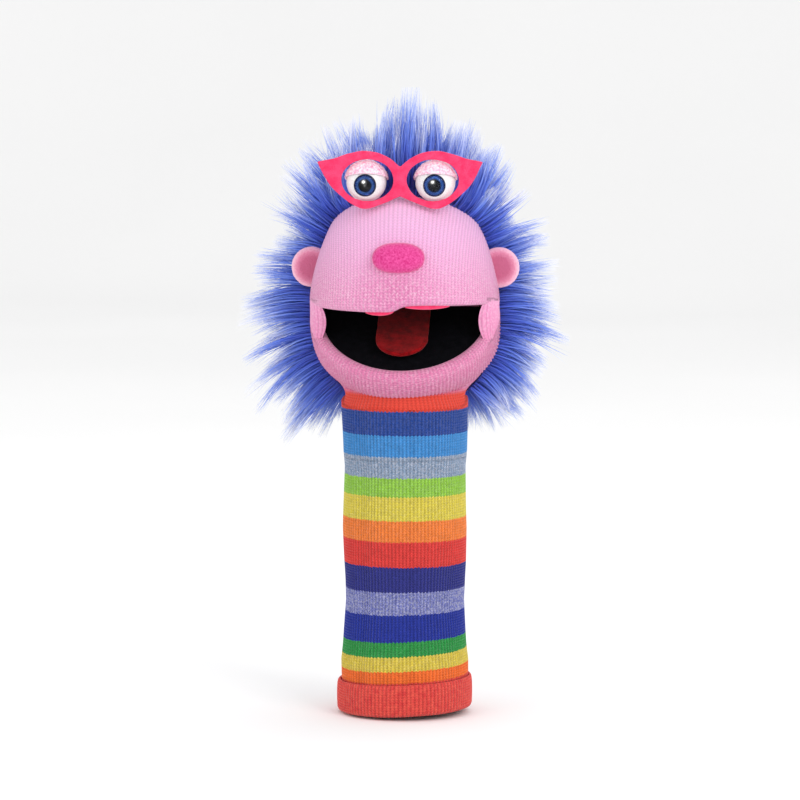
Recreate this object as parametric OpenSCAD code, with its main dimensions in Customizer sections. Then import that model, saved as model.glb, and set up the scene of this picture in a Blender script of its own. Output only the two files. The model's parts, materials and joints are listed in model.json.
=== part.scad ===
// Knitted sock puppet with a full foam head, a hinged mouth and a striped arm sleeve.
// The origin is the middle of the sleeve's open end. +Z runs up the arm and the face looks along -Y.
// Everything is in millimetres.

/* [Sleeve] */
// Radius of the sleeve's inside, where the arm goes
bore_r = 36; // [34:0.5:36.5]
// Height of the turned-up hem
hem_h = 20.5; // [16:0.5:24]
// Height at which the wrist bends
wrist_z = 158; // [156:1:160]

/* [Head] */
// Width of the head without its hair
head_w = 122; // [118:1:126]
// Depth of the head, snout to nape
head_d = 132; // [130:1:136]
// Height of the head's widest level
head_z = 250; // [248:1:252]
// Rise of the crown above the widest level
crown_h = 97; // [95:1:99]
// Thickness of the knitted skin
skin_t = 2; // [1.5:0.1:2.4]
// Thickness of the foam wall
foam_t = 8; // [6:0.5:9]
// Length of the fur's pile
pile_l = 38; // [25:1:42]

/* [Mouth] */
// How far the mouth stands open at rest, in degrees
jaw_open = 33; // [31:1:35]
// Depth of the lower jaw below the mouth's lining
jaw_h = 28; // [26:1:29]
// Length of the tongue from the back of the mouth
tongue_l = 54; // [45:1:56]
// Width of the tongue
tongue_w = 33; // [24:1:36]

/* [Face] */
// Radius of an eyeball
eye_r = 12.5; // [12:0.1:12.8]
// Distance of each eye from the middle
eye_x = 21.7; // [21:0.1:22.5]
// Radius of the plastic iris
iris_r = 7; // [6:0.1:7.5]
// Thickness of the glasses' felt
felt_t = 2.3; // [1.5:0.1:2.5]
// Radius of an ear
ear_r = 13; // [11:0.5:14]

/* [Hidden] */

// Facets round a large curve, and the gap between neighbouring layers
shell_fn = 44;
curve_fn = 64;
gap = 0.3;
far = 400;

// Sleeve: the outside's radius at each height, and where each stripe ends
sleeve_wall = [[0, 41], [24, 40.4], [46, 38.8], [72, 37.5], [100, 38.7], [156, 38.9], [178, 40], [204, 40]];
stripes = [
    [20.5, "tomato"], [28, "darkorange"], [37.5, "khaki"], [47, "mediumseagreen"], [64, "royalblue"],
    [79, "mediumpurple"], [95, "darkslateblue"], [111, "indianred"], [124, "coral"]
];
bend_low = 124;
wrist_slack = 0.6;
band_h = 13.4;
band_low = wrist_z - band_h / 2;
band_high = wrist_z + band_h / 2;
neck_top = 197;
hem_out_r = 43;

// Head: an egg whose lower half is shallower than its crown
head_y = -2;
nape_h = 62;
nape_low = 203;
nape_y = 14;
neck_hole_r = 35;

// Hairline, seen from the side: up behind the ears, then forward over the brow
hair_y = 7;
hair_line = [
    [hair_y, 0], [hair_y, 292], [-4, 316], [-30, 324],
    [-far, 326], [-far, far], [far, far], [far, 0]
];

// Front of the pile, seen from the side, and the height it hangs down to
pile_line = [
    [hair_y + 1.5, 0], [hair_y + 1.5, 286], [-11.5, 347],
    [-11.5, far * 2], [far, far * 2], [far, 0]
];
pile_low = 208;

// Mouth: the hinge runs along X, and every height here is taken from it
hinge_y = 8;
hinge_z = 262;
lining_t = 1;
board_t = 1.6;
palate_low = hinge_z + 1.2;
board_low = palate_low + lining_t + 0.2;
board_top = board_low + board_t;
lip_z = palate_low + 0.2;
palate_gap = 1.6;
fold_r = 1.8;
pocket_t = 1.2;
finger_w = 62;
finger_h = 20;
finger_front = -38;
finger_back = 2;

// Jaw, drawn closed with the hinge at [0, 0]: heights below the hinge
jaw_lining_top = -2;
jaw_board_top = jaw_lining_top - lining_t - 0.2;
jaw_rim_top = -1.5;
jaw_side_h = jaw_h / 2;
jaw_edge_inset = 12;
jaw_back = -7;
thumb_w = 32;
thumb_h = 15;
thumb_front = -50;
thumb_back = -12;
thumb_top = jaw_board_top - board_t - gap;
tongue_t = 2.6;
tongue_root = -6;
tongue_low = -1.7;
tongue_lift = 4;

// Face
nose_at = [0, -60.5, 293.6];
nose_size = [16.5, 10, 10];
cover_t = 1.2;
ear_at = [60, 3, 285];
ear_half_t = 3.5;
eye_at = [eye_x, -38, 340.5];
eye_seat = [0.416, -0.598, 0.685];
eye_seat_d = 9.2;
eye_pitch = 9;
eye_flat = 10.6;
eyelid_t = 1.2;
eyelid_tilt = 24;
eyelid_edge = 2.2;
iris_base_t = 1;
cornea_h = 2.2;
shank_r = 1.5;
shank_in = 2.5;
washer_r = 5;
washer_at = 4;
glasses_y = -44;
glasses_z = 341;
lens_at = [20.5, 0.9];
lens_size = [16.3, 13];
brow_points = [[0, 9.4], [6, 14.2], [14, 18], [23, 19.2], [32, 17.6], [42, 14.4], [52, 12.4]];
cheek_points = [[52, 12.4], [45, -1], [36, -10], [28, -15.4], [21, -17], [10.6, -13.8], [0, -9.3]];
spline_steps = 6;

// ---- Curves ----

// A smooth curve through the points, straight on past its two ends
function pick(p, i) = i < 0 ? 2 * p[0] - p[1] : i >= len(p) ? 2 * p[len(p) - 1] - p[len(p) - 2] : p[i];
function blend_point(a, b, c, d, t) =
    0.5 * (2 * b + (c - a) * t + (2 * a - 5 * b + 4 * c - d) * t * t + (3 * b - a - 3 * c + d) * t * t * t);
function spline(p, n) = [
    for (i = [0:len(p) - 2], k = [0:n - 1])
        blend_point(pick(p, i - 1), p[i], p[i + 1], pick(p, i + 2), k / n)
];
function arc(a, b, from, to, n) = [
    for (i = [0:n])
        let (t = from + (to - from) * i / n) [a * cos(t), b * sin(t)]
];
function mirrored(p) = [for (i = [len(p) - 1:-1:1]) [-p[i][0], p[i][1]]];
function round_box(w, h, r) = [
    for (k = [0:3], q = arc(r, r, k * 90, k * 90 + 90, 6))
        q + [(k == 0 || k == 3 ? 1 : -1) * (w / 2 - r), (k < 2 ? 1 : -1) * (h / 2 - r)]
];

// The mouth's plan, seen from above: the head's oval, cut off straight at the back
function mouth_plan(inset, back) =
    let (
        a = head_w / 2 - inset,
        b = head_d / 2 - inset,
        s = asin((back - head_y) / b)
    )
    [for (p = arc(a, b, 180 - s, 360 + s, 40)) p + [0, head_y]];

// ---- Building blocks ----

// A soft, doubly curved shape, worked out as a single mesh
module soft() resize([0, 0, 0]) union() children();

module oval_ball(size) scale(size) sphere(r = 1, $fn = shell_fn);

module egg(inset) translate([0, head_y, head_z]) {
    for (side = [[crown_h - inset, 0], [nape_h - inset, -far]])
        intersection() {
            oval_ball([head_w / 2 - inset, head_d / 2 - inset, side[0]]);
            translate([-far / 2, -far / 2, side[1]]) cube(far);
        }
}

module egg_shell(outside, inside) difference() {
    egg(outside);
    egg(inside);
}

// All that belongs to the upper head: over the mouth, and behind it down to the neck
module upper_head(low) {
    translate([-far / 2, -far / 2, low]) cube(far);
    translate([-far / 2, nape_y, nape_low]) cube([far, far, low - nape_low + 1]);
}

module neck_hole() translate([0, 0, nape_low - 20]) cylinder(r = neck_hole_r, h = 45, $fn = curve_fn);

// The space behind a line that is seen from the side
module behind(line, shift = 0) rotate([90, 0, 90]) linear_extrude(far, center = true)
    offset(delta = -shift) polygon(line);

// Turns a jaw drawn closed round the hinge, down to where it rests
module opened_jaw() translate([0, hinge_y, hinge_z]) rotate([jaw_open, 0, 0]) children();

module jaw_plan(inset, longer = 0)
    polygon([for (p = mouth_plan(inset, hinge_y + jaw_back + longer)) p - [0, hinge_y]]);

// The lower jaw's outside: upright at the lip, rounded below, and slanting away at the back
module jaw_block(inset, top, longer = 0) difference() {
    hull() {
        translate([0, 0, -jaw_side_h]) linear_extrude(top + jaw_side_h) jaw_plan(inset, longer);
        translate([0, 0, -0.8 * jaw_h]) linear_extrude(0.6) jaw_plan(inset + 0.3 * jaw_edge_inset, longer);
        translate([0, 0, -jaw_h - 1.5 + inset]) linear_extrude(0.6) jaw_plan(inset + jaw_edge_inset, longer);
    }
    translate([0, longer, 0]) rotate([-45, 0, 0]) translate([-far / 2, 0, -far]) cube([far, far, far]);
}

module mirrored_to(side) mirror([side < 0 ? 1 : 0, 0, 0]) children();

// ---- Sleeve ----

function wall_r(z) = lookup(z, sleeve_wall);

module knit_tube(low, high, r = bore_r + wrist_slack) rotate_extrude($fn = curve_fn) polygon(concat(
    [[r, high], [r, low], [wall_r(low), low]],
    [for (p = sleeve_wall) if (p[0] > low && p[0] < high) [p[1], p[0]]],
    [[wall_r(high), high]]
));

module sleeve() {
    for (i = [0:len(stripes) - 1])
        color(stripes[i][1]) knit_tube(i == 0 ? 0 : stripes[i - 1][0], stripes[i][0], bore_r);
}

module hem_cuff() color("tomato") rotate_extrude($fn = curve_fn) polygon([
    [wall_r(0) + 0.1, 0], [hem_out_r - 0.6, 0], [hem_out_r, 2], [hem_out_r, hem_h - 3],
    [hem_out_r - 1, hem_h], [wall_r(hem_h) + 0.1, hem_h]
]);

module sleeve_wrist_knit() color("gold") knit_tube(bend_low + gap, band_low - gap);

module wrist_band() color("lightsteelblue") knit_tube(band_low, band_high);

// It reaches higher at the nape than under the jaw
module neck_knit() color("steelblue") difference() {
    knit_tube(band_high + gap, nape_low - gap);
    translate([-far / 2, nape_y - far, neck_top]) cube(far);
}

// ---- Head ----

module head_skin() color("pink") soft() difference() {
    intersection() {
        egg_shell(0, skin_t);
        upper_head(lip_z);
    }
    behind(hair_line);
}

module fur_backing() color("slateblue") soft() difference() {
    intersection() {
        egg_shell(0, skin_t);
        upper_head(lip_z);
        behind(hair_line, gap);
    }
    neck_hole();
}

module fur_pile() color("cornflowerblue") soft() difference() {
    intersection() {
        egg_shell(-pile_l, -gap);
        upper_head(lip_z);
        behind(pile_line);
    }
    translate([-far / 2, -far / 2, pile_low - far]) cube(far);
}

module head_foam() color("oldlace") soft() difference() {
    intersection() {
        egg_shell(skin_t + gap, skin_t + foam_t);
        upper_head(board_top + gap);
    }
    neck_hole();
}

module palate_board() color("tan") translate([0, 0, board_low]) linear_extrude(board_t)
    polygon(mouth_plan(skin_t + palate_gap, hinge_y - 4));

module palate_lining() color("black") translate([0, 0, palate_low]) linear_extrude(lining_t)
    polygon(mouth_plan(skin_t + palate_gap, hinge_y - 2.5));

// A flat pocket lying along Y, closed at its front end
module pocket(w, h, front, back) {
    translate([0, back, 0]) rotate([90, 0, 0]) linear_extrude(back - front - pocket_t) difference() {
        polygon(round_box(w, h, h / 2 - 1));
        polygon(round_box(w - 2 * pocket_t, h - 2 * pocket_t, h / 2 - 1 - pocket_t));
    }
    translate([0, front + pocket_t, 0]) rotate([90, 0, 0]) linear_extrude(pocket_t)
        polygon(round_box(w, h, h / 2 - 1));
}

module finger_pocket() color("dimgray") translate([0, 0, board_top + gap + finger_h / 2])
    pocket(finger_w, finger_h, finger_front, finger_back);

module mouth_fold() color("black") translate([0, hinge_y, hinge_z]) rotate([0, 90, 0])
    cylinder(r = fold_r, h = 0.8 * head_w, center = true, $fn = curve_fn);

// ---- Nose and ears ----

module nose_ball(inset) translate(nose_at) oval_ball([for (s = nose_size) s - inset], $fn = 32);

module nose_cover() color("deeppink") soft() difference() {
    nose_ball(0);
    nose_ball(cover_t);
    egg(-gap);
}

module nose_stuffing() color("white") soft() difference() {
    nose_ball(cover_t + gap);
    egg(-gap);
}

module ear_disc(inset) translate(ear_at)
    scale([ear_r - inset, ear_half_t - inset, ear_r - inset]) sphere(r = 1, $fn = 28);

module ear_cover(side) color("lightpink") mirrored_to(side) soft() difference() {
    ear_disc(0);
    ear_disc(cover_t);
    egg(-gap);
}

module ear_stuffing(side) color("white") mirrored_to(side) soft() difference() {
    ear_disc(cover_t + gap);
    egg(-gap);
}

// ---- Eyes: drawn at the eyeball's centre, looking along -Z ----

module eye_place(side) mirrored_to(side) translate(eye_at) rotate([90 + eye_pitch, 0, 0]) mirror([0, 0, 1])
    children();

// The side of an eyeball that is flattened where it sits on the head
module head_side(distance) {
    n = [eye_seat[0], eye_seat[1], eye_seat[2]];
    mirror([0, 0, 1]) rotate([-90 - eye_pitch, 0, 0])
        rotate([0, acos(-n[2]), atan2(-n[1], -n[0])]) translate([-far / 2, -far / 2, distance]) cube(far);
}

module eyeball(r, flat, seat) difference() {
    sphere(r = r, $fn = curve_fn);
    translate([-far / 2, -far / 2, -far - flat]) cube(far);
    head_side(seat);
}

module eyeball_cover(side) color("white") eye_place(side) difference() {
    eyeball(eye_r, eye_flat, eye_seat_d);
    eyeball(eye_r - cover_t, eye_flat - cover_t, eye_seat_d - cover_t);
    translate([0, 0, -eye_r]) cylinder(r = shank_r + 0.1, h = eye_r, $fn = 32);
}

module eyeball_stuffing(side) color("whitesmoke") eye_place(side) difference() {
    eyeball(eye_r - cover_t - gap, eye_flat - cover_t - gap, eye_seat_d - cover_t - gap);
    translate([0, 0, -eye_r]) cylinder(r = shank_r + gap, h = eye_r - shank_in + gap, $fn = 32);
    translate([0, 0, -washer_at - 1.3]) cylinder(r = washer_r + gap, h = 1.6, $fn = 32);
}

module eyelid(side) color("hotpink") eye_place(side) difference() {
    sphere(r = eye_r + gap + eyelid_t, $fn = curve_fn);
    sphere(r = eye_r + gap, $fn = curve_fn);
    rotate([eyelid_tilt, 0, 0]) translate([-far / 2, eyelid_edge - far, -far / 2]) cube(far);
    head_side(eye_seat_d);
}

module iris(side) color("royalblue") eye_place(side) {
    translate([0, 0, -eye_flat - 0.1 - iris_base_t]) cylinder(r = iris_r, h = iris_base_t, $fn = curve_fn);
    translate([0, 0, -eye_flat - 0.5]) cylinder(r = shank_r, h = eye_flat + 0.5 - shank_in, $fn = 32);
}

module cornea(side) color([0.85, 0.92, 1, 0.4]) eye_place(side) {
    base = eye_flat + 0.1 + iris_base_t + 0.05;
    ball_r = (iris_r * iris_r + cornea_h * cornea_h) / (2 * cornea_h);
    intersection() {
        translate([0, 0, -base - cornea_h + ball_r]) sphere(r = ball_r, $fn = curve_fn);
        translate([0, 0, -base - 2 * cornea_h]) cylinder(r = iris_r + 1, h = 2 * cornea_h, $fn = curve_fn);
    }
}

module eye_washer(side) color("gainsboro") eye_place(side) translate([0, 0, -washer_at - 1]) difference() {
    cylinder(r = washer_r, h = 1, $fn = curve_fn);
    translate([0, 0, -1]) cylinder(r = shank_r + 0.05, h = 3, $fn = 32);
}

// ---- Glasses ----

module glasses_frame() color("crimson") translate([0, glasses_y, glasses_z]) rotate([90, 0, 0])
    linear_extrude(felt_t) difference() {
        half = concat(spline(brow_points, spline_steps), spline(cheek_points, spline_steps));
        polygon(concat(half, [cheek_points[len(cheek_points) - 1]], mirrored(half)));
        for (side = [-1, 1])
            translate([side * lens_at[0], lens_at[1]]) polygon(arc(lens_size[0], lens_size[1], 0, 351, 39));
    }

// ---- Jaw ----

module thumb_channel(grow) translate([0, 0, thumb_top - thumb_h / 2])
    translate([-thumb_w / 2 - grow, thumb_front - grow, -thumb_h / 2 - grow])
        cube([thumb_w + 2 * grow, far, thumb_h + grow + 3]);

module jaw_skin() color("pink") opened_jaw() soft() difference() {
    jaw_block(0, jaw_rim_top);
    jaw_block(skin_t, jaw_rim_top + 1, 2);
    thumb_channel(1);
}

// The soft skin under the jaw, from the neck's rim up to the corners of the mouth
module throat_block(inset) {
    hull() {
        intersection() {
            translate([0, 0, neck_top + gap - inset])
                cylinder(r = wall_r(neck_top) - inset, h = 0.1, $fn = shell_fn);
            translate([-far / 2, nape_y - gap + inset - far, 0]) cube(far);
        }
        intersection() {
            egg(inset);
            translate([-far / 2, hinge_y - 6, nape_low])
                cube([far, nape_y - gap + inset - hinge_y + 6, 46 + inset]);
        }
        opened_jaw() translate([0, 0, -jaw_h - 0.9 + inset]) linear_extrude(0.1) jaw_plan(20 + inset, -22);
    }
}

module throat_knit() color("lightcoral") soft() difference() {
    throat_block(0);
    throat_block(skin_t);
    opened_jaw() jaw_block(-gap, 30, 2 * gap);
    opened_jaw() translate([-far / 2, -far, -4]) cube([far, far + 4, far]);
}

module jaw_foam() color("oldlace") opened_jaw() soft() difference() {
    jaw_block(skin_t + gap, jaw_board_top - board_t - gap);
    thumb_channel(0.8);
}

module jaw_board() color("tan") opened_jaw()
    translate([0, 0, jaw_board_top - board_t]) linear_extrude(board_t)
    jaw_plan(skin_t + 2 * gap);

module jaw_lining() color("black") opened_jaw() translate([0, 0, jaw_lining_top - lining_t])
    linear_extrude(lining_t) jaw_plan(skin_t + 2 * gap);

module thumb_pocket() color("dimgray") opened_jaw() translate([0, 0, thumb_top - thumb_h / 2])
    pocket(thumb_w, thumb_h, thumb_front, thumb_back);

// Felt with a round tip, standing a little off the lining
module tongue() color("red") opened_jaw() translate([0, tongue_root, 0]) rotate([-tongue_lift, 0, 0])
    translate([0, 0, tongue_low]) linear_extrude(tongue_t) polygon(concat(
        [[tongue_w / 2, 0]],
        [[-tongue_w / 2, 0]],
        [for (p = arc(tongue_w / 2, tongue_w / 2, 180, 360, 16)) p - [0, tongue_l - tongue_w / 2]]
    ));

// ---- Nodes ----

sleeve();
hem_cuff();
sleeve_wrist_knit();
wrist_band();
neck_knit();
head_skin();
head_foam();
fur_backing();
fur_pile();
palate_board();
palate_lining();
finger_pocket();
mouth_fold();
nose_cover();
nose_stuffing();
ear_cover(1);  // ear_cover_left
ear_cover(-1);  // ear_cover_right
ear_stuffing(1);  // ear_stuffing_left
ear_stuffing(-1);  // ear_stuffing_right
eyeball_cover(1);  // eyeball_cover_left
eyeball_cover(-1);  // eyeball_cover_right
eyeball_stuffing(1);  // eyeball_stuffing_left
eyeball_stuffing(-1);  // eyeball_stuffing_right
eyelid(1);  // eyelid_left
eyelid(-1);  // eyelid_right
iris(1);  // iris_left
iris(-1);  // iris_right
cornea(1);  // cornea_left
cornea(-1);  // cornea_right
eye_washer(1);  // eye_washer_left
eye_washer(-1);  // eye_washer_right
glasses_frame();
jaw_skin();
throat_knit();
jaw_foam();
jaw_board();
jaw_lining();
thumb_pocket();
tongue();
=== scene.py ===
import json
import math

import bmesh
import bpy
import numpy as np
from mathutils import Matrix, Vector, noise


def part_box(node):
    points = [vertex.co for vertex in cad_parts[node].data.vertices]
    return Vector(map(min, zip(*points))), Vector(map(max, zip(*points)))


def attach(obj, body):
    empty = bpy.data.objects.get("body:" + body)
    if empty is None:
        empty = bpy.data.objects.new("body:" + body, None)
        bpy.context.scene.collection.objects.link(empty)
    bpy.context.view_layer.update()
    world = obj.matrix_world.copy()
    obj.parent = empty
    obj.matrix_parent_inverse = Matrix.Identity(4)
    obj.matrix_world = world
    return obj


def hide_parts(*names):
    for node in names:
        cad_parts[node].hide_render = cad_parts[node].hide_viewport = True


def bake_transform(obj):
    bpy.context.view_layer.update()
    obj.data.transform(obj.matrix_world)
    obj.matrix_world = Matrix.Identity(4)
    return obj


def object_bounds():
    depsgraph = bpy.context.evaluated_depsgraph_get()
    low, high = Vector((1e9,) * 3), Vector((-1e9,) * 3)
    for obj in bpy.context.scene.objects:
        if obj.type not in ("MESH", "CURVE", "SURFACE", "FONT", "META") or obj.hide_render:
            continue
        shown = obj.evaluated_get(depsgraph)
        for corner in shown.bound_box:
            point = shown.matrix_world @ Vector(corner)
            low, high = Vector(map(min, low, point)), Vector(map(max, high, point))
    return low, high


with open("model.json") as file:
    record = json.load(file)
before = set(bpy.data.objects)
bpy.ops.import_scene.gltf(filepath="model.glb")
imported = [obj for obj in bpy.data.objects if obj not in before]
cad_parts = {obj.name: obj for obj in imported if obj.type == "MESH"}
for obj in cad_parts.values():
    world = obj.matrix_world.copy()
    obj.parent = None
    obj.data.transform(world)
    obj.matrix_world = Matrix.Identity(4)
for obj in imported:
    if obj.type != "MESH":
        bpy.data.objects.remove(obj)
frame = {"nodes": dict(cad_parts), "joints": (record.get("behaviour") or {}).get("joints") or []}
cad_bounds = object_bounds()

# Everything below is worked out in millimetres in the row frame: +Z up the arm, the face looks along -Y.
MM = 0.001

# ---- Dimensions ----

# Head: an egg whose lower half is shallower than its crown
HEAD_AT = np.array([0.0, -2.0, 250.0])
HEAD_HALF = np.array([61.0, 66.0])
CROWN, NAPE = 97.0, 62.0

# From the hinge to the lips in front, and the mean reach that knit is measured along
LIP_REACH, ARC_REACH = 68, 66

# Hairline, seen from the side: its Y at each height, and how much lower it runs 42 mm out from the middle
HAIR_Z = [0, 292, 305, 318, 331, 335]
HAIR_Y = [12, 12, 8, -2, -34, -80]
HAIR_DROP = 5.0

# Lips: the roll's section as (inset from the outline, height over the lip's plane)
LIP_ROLL = [(8.6, 4.6), (8.4, 2.6), (7.9, 1.3), (6.8, 0.4), (5.0, 0.0), (3.2, 0.15), (1.4, 0.9), (0.35, 2.3)]
ROLL_TOP = 4.0
LIP_STEPS = np.hypot(*np.diff(np.array(LIP_ROLL + [(0.0, ROLL_TOP)]), axis=0).T)
LIP_ALONG = -np.cumsum(LIP_STEPS[::-1])[::-1][:, None]
ROLL_REACH = 16.0
UPPER_LIP, LOWER_LIP = 0.9, 1.4

# Jaw: a rounded bowl, in a frame that turns with it, hinge at the origin
JAW_OPEN = math.radians(33)
JAW_AT_Y = -10.0
JAW_HALF = np.array([60.5, 66.0])
JAW_DEEP = 42.0
JAW_END, JAW_SIDE_END = math.radians(50), math.radians(78)

# Cheeks: from this far round, the skin runs on over the corner of the mouth
CHEEK_FROM = math.radians(54)
CHEEK_ROLL = math.radians(7)

# Knit: ribs round the sleeve and across the face, columns of points to a rib, and a stitch's height
SLEEVE_RIBS, FACE_RIBS, PER_RIB = 104, 90, 6
STITCH = 1.7
SLEEVE_Z = [0, 20, 33, 43, 56, 72, 86, 97, 118, 139, 158, 168, 197, 210]
SLEEVE_R = [40.6, 40.6, 40.8, 39.6, 38.6, 37.4, 37.8, 38.4, 39.2, 38.9, 38.6, 39.5, 40.1, 40.1]
SLEEVE_IN = 36.3
BAND_TOP = 164.5
NECK_TOP, NECK_DROP = 203.0, 6.0
CORAL_TOP = 207.0

# Stripes from the hem up: where each ends, its colour, and how much pale yarn is twisted into it
STRIPES = [
    (20.5, (226, 74, 68), 0.0), (28.0, (252, 118, 48), 0.0), (37.8, (228, 204, 70), 0.1),
    (47.4, (38, 154, 68), 0.05), (64.0, (36, 54, 158), 0.0), (78.7, (116, 122, 192), 0.45),
    (94.7, (48, 52, 136), 0.0), (111.0, (230, 66, 62), 0.0), (124.0, (250, 134, 56), 0.05),
    (139.5, (230, 212, 74), 0.1), (151.7, (152, 208, 68), 0.1), (164.5, (138, 160, 188), 0.5),
    (178.6, (64, 146, 216), 0.05), (194.0, (34, 72, 156), 0.05), (CORAL_TOP, (230, 76, 60), 0.0),
]

# The face's knit is darker round this point, out to this far: partly the knit's own deeper tone and partly
# painted shadow of the nose
UNDER_NOSE = np.array([0.0, -66.0, 270.0])
SHADE_REACH = 34

# Eyes: the ball is flat at the iris and where it sits on the head; the left one's seat faces this way
EYE_Y, EYE_Z = -38.0, 340.5
EYE_R, EYE_FLAT, SEAT_AT = 12.5, 10.6, 9.2
SEAT = np.array([-0.416, 0.598, -0.685])
EYE_PITCH = math.radians(9)
IRIS_R, PUPIL_R = 7.0, 3.85

# Where an ear's rose middle has given way to its rim
EAR_R = 13

# Fur: clumps, strands, points along a strand, and how far it may pass the CAD model's box
CLUMPS, STRANDS, STRAND_POINTS = 620, 27000, 6
PAST_LOW, PAST_HIGH = [12, 8, 0], [10, 8, 15]


def joint_at(name):
    """Where a joint's axis is, in millimetres."""
    return np.array(next(j for j in frame["joints"] if j["name"] == name)["pos_m"]) / MM


def box(node):
    """The lowest and highest corner of a CAD node's box, in millimetres."""
    return [np.array(corner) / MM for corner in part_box(node)]


def middle(node):
    return sum(box(node)) / 2


HINGE = joint_at("jaw_hinge")

# ---- Meshes ----


def grid_faces(rows, columns, wrap_rows=False, wrap_columns=False):
    """The quads of a grid of points, row after row."""
    r = np.arange(rows if wrap_rows else rows - 1)[:, None]
    c = np.arange(columns if wrap_columns else columns - 1)[None, :]
    up, along = (r + 1) % rows, (c + 1) % columns
    corners = [r * columns + c, r * columns + along, up * columns + along, up * columns + c]
    return stacked(*corners).reshape(-1, 4)


def stacked(*parts):
    """Coordinates that broadcast against each other, as one array of vectors."""
    return np.stack(np.broadcast_arrays(*parts), -1)


def ring(count):
    """Angles once round, as a row."""
    return np.linspace(0, 2 * math.pi, count, endpoint=False)[None, :]


def smooth(value, low, high):
    """0 below low, 1 above high, and a soft step between."""
    t = np.clip((value - low) / (high - low), 0, 1)
    return t * t * (3 - 2 * t)


def add_object(name, data):
    made = bpy.data.objects.new(name, data)
    bpy.context.scene.collection.objects.link(made)
    return made


def new_piece(name, points, faces, paint, weld=0.0, **attributes):
    """A smooth mesh object from points in millimetres, with its material and its stored vectors."""
    mesh = bpy.data.meshes.new(name)
    mesh.from_pydata((np.asarray(points).reshape(-1, 3) * MM).tolist(), [], np.asarray(faces).tolist())
    for key, values in attributes.items():
        stored = mesh.attributes.new(key, "FLOAT_VECTOR", "POINT")
        stored.data.foreach_set("vector", np.asarray(values, np.float32).ravel())
    bm = bmesh.new()
    bm.from_mesh(mesh)
    if weld:
        bmesh.ops.remove_doubles(bm, verts=bm.verts, dist=weld * MM)
        bmesh.ops.dissolve_degenerate(bm, dist=weld * MM, edges=bm.edges)
        bmesh.ops.recalc_face_normals(bm, faces=bm.faces)
    loose = [vertex for vertex in bm.verts if not vertex.link_faces]
    bmesh.ops.delete(bm, geom=loose, context="VERTS")
    bm.to_mesh(mesh)
    bm.free()
    mesh.shade_smooth()
    mesh.materials.append(paint)
    return add_object(name, mesh)


def grid_piece(name, points, paint, wrap="", weld=0.01, **attributes):
    """A piece from a grid of points that closes across its rows, its columns, or both."""
    faces = grid_faces(*points.shape[:2], "rows" in wrap, "columns" in wrap)
    return new_piece(name, points, faces, paint, weld, **attributes)


def bake_modifiers(piece):
    """Applies a piece's modifiers to its mesh."""
    evaluated = piece.evaluated_get(bpy.context.evaluated_depsgraph_get())
    mesh = bpy.data.meshes.new_from_object(evaluated)
    piece.modifiers.clear()
    piece.data = mesh
    mesh.shade_smooth()


def roughen(piece, size, height, shape=None):
    """Moves each point along its normal by up to height, in lumps of that size; shape may move it too."""
    mesh = piece.data
    mesh.update()
    points = np.empty((len(mesh.vertices), 3))
    normals = np.empty((len(mesh.vertices), 3))
    mesh.vertices.foreach_get("co", points.ravel())
    mesh.vertex_normals.foreach_get("vector", normals.ravel())
    points /= MM
    lumps = np.array([noise.noise(point / size) for point in points])
    points += normals * (lumps * height)[:, None]
    if shape:
        points = shape(points)
    mesh.vertices.foreach_set("co", (points * MM).ravel())
    mesh.update()


def soft_copy(name, node, paint, voxel, relax, lump, height, shape=None):
    """A CAD node's shape as cloth: remeshed evenly, its edges relaxed, and its surface a little uneven."""
    piece = add_object(name, frame["nodes"][node].data.copy())
    piece.data.materials.clear()
    even = piece.modifiers.new("even", "REMESH")
    even.mode = "VOXEL"
    even.voxel_size = voxel * MM
    soften = piece.modifiers.new("soften", "SMOOTH")
    soften.iterations = relax
    bpy.context.view_layer.update()
    bake_modifiers(piece)
    piece.data.materials.clear()
    piece.data.materials.append(paint)
    roughen(piece, lump, height, shape)
    return piece


def finish_piece(piece, body, slot, *nodes):
    """The piece rides on a body and stands for CAD nodes, which it hides; slot is not used."""
    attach(piece, body)
    if nodes:
        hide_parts(*nodes)
    return piece


# ---- Materials ----


def srgb(red, green, blue):
    """A colour of 0 to 255 in each channel, as the linear values that sockets take."""
    part = [v / 255 for v in (red, green, blue)]
    return tuple(v / 12.92 if v <= 0.04045 else ((v + 0.055) / 1.055) ** 2.4 for v in part) + (1.0,)


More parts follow.
